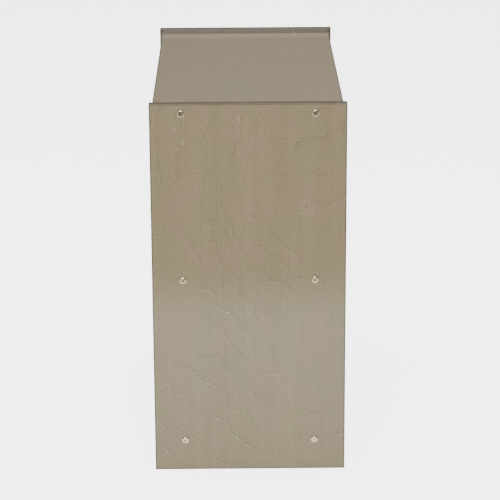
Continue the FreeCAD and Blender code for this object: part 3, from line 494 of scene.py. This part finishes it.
def mesh_object(name, mesh, material):
    """Turns a bmesh into an object in the scene."""
    data = bpy.data.meshes.new(name)
    mesh.to_mesh(data)
    mesh.free()
    data.materials.append(material)
    thing = bpy.data.objects.new(name, data)
    bpy.context.scene.collection.objects.link(thing)
    return thing


def solid_piece(name, mesh, material, body):
    """Turns a bmesh into a piece that rides on a body."""
    piece = mesh_object(name, mesh, material)
    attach(piece, body)
    return piece


def round_over(mesh, edges, radius, segments=2):
    """Rounds some of a bmesh's edges."""
    bmesh.ops.bevel(mesh, geom=edges, offset=radius, segments=segments, profile=0.5, affect="EDGES",
                    material=-1)


# ---- ribbed landing mat ----

# the ribs' pitch and height, the share of the pitch that is rib, and the radius along a rib's top
RIB_PITCH = 8 * MM
RIB_HEIGHT = 2.2 * MM
RIB_SHARE = 0.55
RIB_ROUND = 0.9 * MM

# the mat's plain border, and the radii of its corners and its rim
MAT_BORDER = 12 * MM
MAT_CORNER = 12 * MM
MAT_RIM = 1.2 * MM

# an upright edge's direction has a Z over this, and a sharp edge's two faces turn by over this many radians
UPRIGHT = 0.9
SHARP = 1.0


def ribbed_mat():
    """A rubber mat with rounded corners and ribs that run from end to end."""
    low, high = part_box("landing_mat")
    width, depth, thick = high - low
    centre = (low + high) / 2
    base_thick = thick - RIB_HEIGHT
    mesh = bmesh.new()
    bmesh.ops.create_cube(mesh, size=1.0)
    bmesh.ops.scale(mesh, vec=(width, depth, base_thick), verts=mesh.verts)
    uprights = [edge for edge in mesh.edges
                if abs((edge.verts[0].co - edge.verts[1].co).normalized().z) > UPRIGHT]
    round_over(mesh, uprights, MAT_CORNER, segments=6)
    rims = [edge for edge in mesh.edges if edge.calc_face_angle(0) > SHARP and edge.verts[0].co.z > 0
            and edge.verts[1].co.z > 0]
    round_over(mesh, rims, MAT_RIM)
    bmesh.ops.translate(mesh, vec=(centre.x, centre.y, low.z + base_thick / 2), verts=mesh.verts)

    ribbed = depth - 2 * MAT_BORDER
    rib_count = int(ribbed / RIB_PITCH)
    first_rib = low.y + MAT_BORDER + (ribbed - (rib_count - 1) * RIB_PITCH) / 2
    for k in range(rib_count):
        made = bmesh.ops.create_cube(mesh, size=1.0)["verts"]
        bmesh.ops.scale(mesh, vec=(width - 2 * MAT_BORDER, RIB_PITCH * RIB_SHARE, RIB_HEIGHT), verts=made)
        tops = [edge for edge in mesh.edges if edge.verts[0] in made and edge.verts[1] in made
                and edge.verts[0].co.z > 0 and edge.verts[1].co.z > 0]
        rib_place = (centre.x, first_rib + k * RIB_PITCH, high.z - RIB_HEIGHT / 2)
        bmesh.ops.translate(mesh, vec=rib_place, verts=made)
        round_over(mesh, tops, RIB_ROUND)
    piece = solid_piece("ribbed_mat", mesh, mat_rubber, "carcase")
    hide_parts("landing_mat")


ribbed_mat()


# ---- floor, light and camera ----

# the floor: how far it reaches, its colours, and how strongly it glows as seen and as thrown on the box
FLOOR_REACH = 14.0
FLOOR_PALE = (0.88, 0.88, 0.88)
FLOOR_LIGHT = (0.92, 1, 0.965)
FLOOR_SEEN = 4.0
FLOOR_THROWN = 0.62

# off the right-hand end: where the dark runner begins, the runner's and the bright apron's half widths, and
# how fast the apron's glow rises with distance, up to a limit
RUNNER_START = (1.34, 1.70)
RUNNER_SIDE = (0.70, 1.00)
APRON_SIDE = (0.60, 1.40)
APRON_RISE = 1.55
APRON_MOST = 2.2

SURROUND_SEEN = 4.8
SURROUND_THROWN = 0.22

# the camera: lens and sensor in mm, where it stands, and how it is turned down, aside and about its own line
LENS = 152.1
SENSOR = 36
EYE = (4.5087, -0.0294, 1.7981)
PITCH = math.radians(17.62)
YAW = math.radians(0.44)
ROLL = math.radians(-0.31)


def floor_finish(name, glow):
    """A pale matt finish that glows."""
    return Finish(name, Base_Color=(*FLOOR_PALE, 1), Roughness=0.9, Specular_IOR_Level=0.1,
                  Emission_Color=(1, 1, 1, 1), Emission_Strength=glow)


def floor_sheet(name, height, finish):
    """A wide level sheet that isn't part of the box."""
    mesh = bmesh.new()
    bmesh.ops.create_grid(mesh, x_segments=1, y_segments=1, size=FLOOR_REACH)
    bmesh.ops.translate(mesh, vec=(0, 0, height), verts=mesh.verts)
    floor = mesh_object(name, mesh, finish.material)
    return floor


def studio_floor():
    """The floor that is seen, and under it one for the light that it throws back. The second is brighter
    just in front of the right-hand end, and has a dark runner beyond, so the lacquer mirrors it only low
    down."""
    seen = floor_sheet("studio_floor", -0.2 * MM, floor_finish("studio_floor", FLOOR_SEEN))
    seen.visible_diffuse = False
    seen.visible_glossy = False
    finish = floor_finish("studio_floor_light", FLOOR_THROWN)
    thrown = floor_sheet("studio_floor_light", -1 * MM, finish)
    thrown.visible_camera = False
    x, y = finish.place()[:2]
    apron = x.greater(0) * (1 - abs(y).step(*APRON_SIDE)) * APRON_RISE
    runner = x.step(*RUNNER_START) * (1 - abs(y).step(*RUNNER_SIDE))
    light = finish.tint(FLOOR_LIGHT, (apron.lesser(APRON_MOST) + 1) * (1 - runner))
    finish.paint(Emission_Color=light, Base_Color=finish.tint(FLOOR_PALE, 1 - runner))


def soft_light(name, place, aim, wide, watts, mirrored=True):
    """A round area light, left out of reflections where mirrored is False."""
    data = bpy.data.lights.new(name, "AREA")
    data.shape = "DISK"
    data.size = wide
    data.energy = watts
    lamp = bpy.data.objects.new(name, data)
    lamp.location = place
    lamp.rotation_euler = (Vector(aim) - Vector(place)).to_track_quat("-Z", "Y").to_euler()
    lamp.visible_camera = False
    lamp.visible_glossy = mirrored
    bpy.context.scene.collection.objects.link(lamp)


def surround():
    """A pale world to the camera, and a dim one to everything else."""
    world = bpy.data.worlds.new("studio")
    bpy.context.scene.world = world
    world.use_nodes = True
    tree = world.node_tree
    tree.nodes.clear()
    out = tree.nodes.new("ShaderNodeOutputWorld")
    seen = tree.nodes.new("ShaderNodeBackground")
    seen.inputs["Strength"].default_value = SURROUND_SEEN
    thrown = tree.nodes.new("ShaderNodeBackground")
    thrown.inputs["Strength"].default_value = SURROUND_THROWN
    pick = tree.nodes.new("ShaderNodeMixShader")
    rays = tree.nodes.new("ShaderNodeLightPath")
    tree.links.new(rays.outputs["Is Camera Ray"], pick.inputs[0])
    tree.links.new(thrown.outputs[0], pick.inputs[1])
    tree.links.new(seen.outputs[0], pick.inputs[2])
    tree.links.new(pick.outputs[0], out.inputs[0])


def studio_light():
    """Five soft lights round the box, and the surround."""
    middle = (0.1, 0, 0.4)
    soft_light("end_light", (3.4, -0.5, 2.2), middle, wide=2.6, watts=117)
    soft_light("front_light", (-0.4, -3.4, 2.0), middle, wide=2.6, watts=75, mirrored=False)
    soft_light("rear_light", (-0.4, 3.4, 2.0), middle, wide=2.6, watts=60, mirrored=False)
    soft_light("far_light", (-2.4, 0.3, 3.4), middle, wide=2.2, watts=45)
    soft_light("top_light", (0, 0, 3.2), (0, 0, 0), wide=2.2, watts=35)
    surround()


def camera():
    """Looks at the right-hand end from well above it, through a long lens."""
    data = bpy.data.cameras.new("camera")
    data.lens = LENS
    data.sensor_width = SENSOR
    eye = bpy.data.objects.new("camera", data)
    look = Vector((-math.cos(YAW) * math.cos(PITCH), math.sin(YAW) * math.cos(PITCH), -math.sin(PITCH)))
    eye.rotation_mode = "QUATERNION"
    eye.rotation_quaternion = look.to_track_quat("-Z", "Y") @ Quaternion((0, 0, 1), ROLL)
    eye.location = EYE
    bpy.context.scene.collection.objects.link(eye)
    bpy.context.scene.camera = eye


studio_floor()
studio_light()
camera()
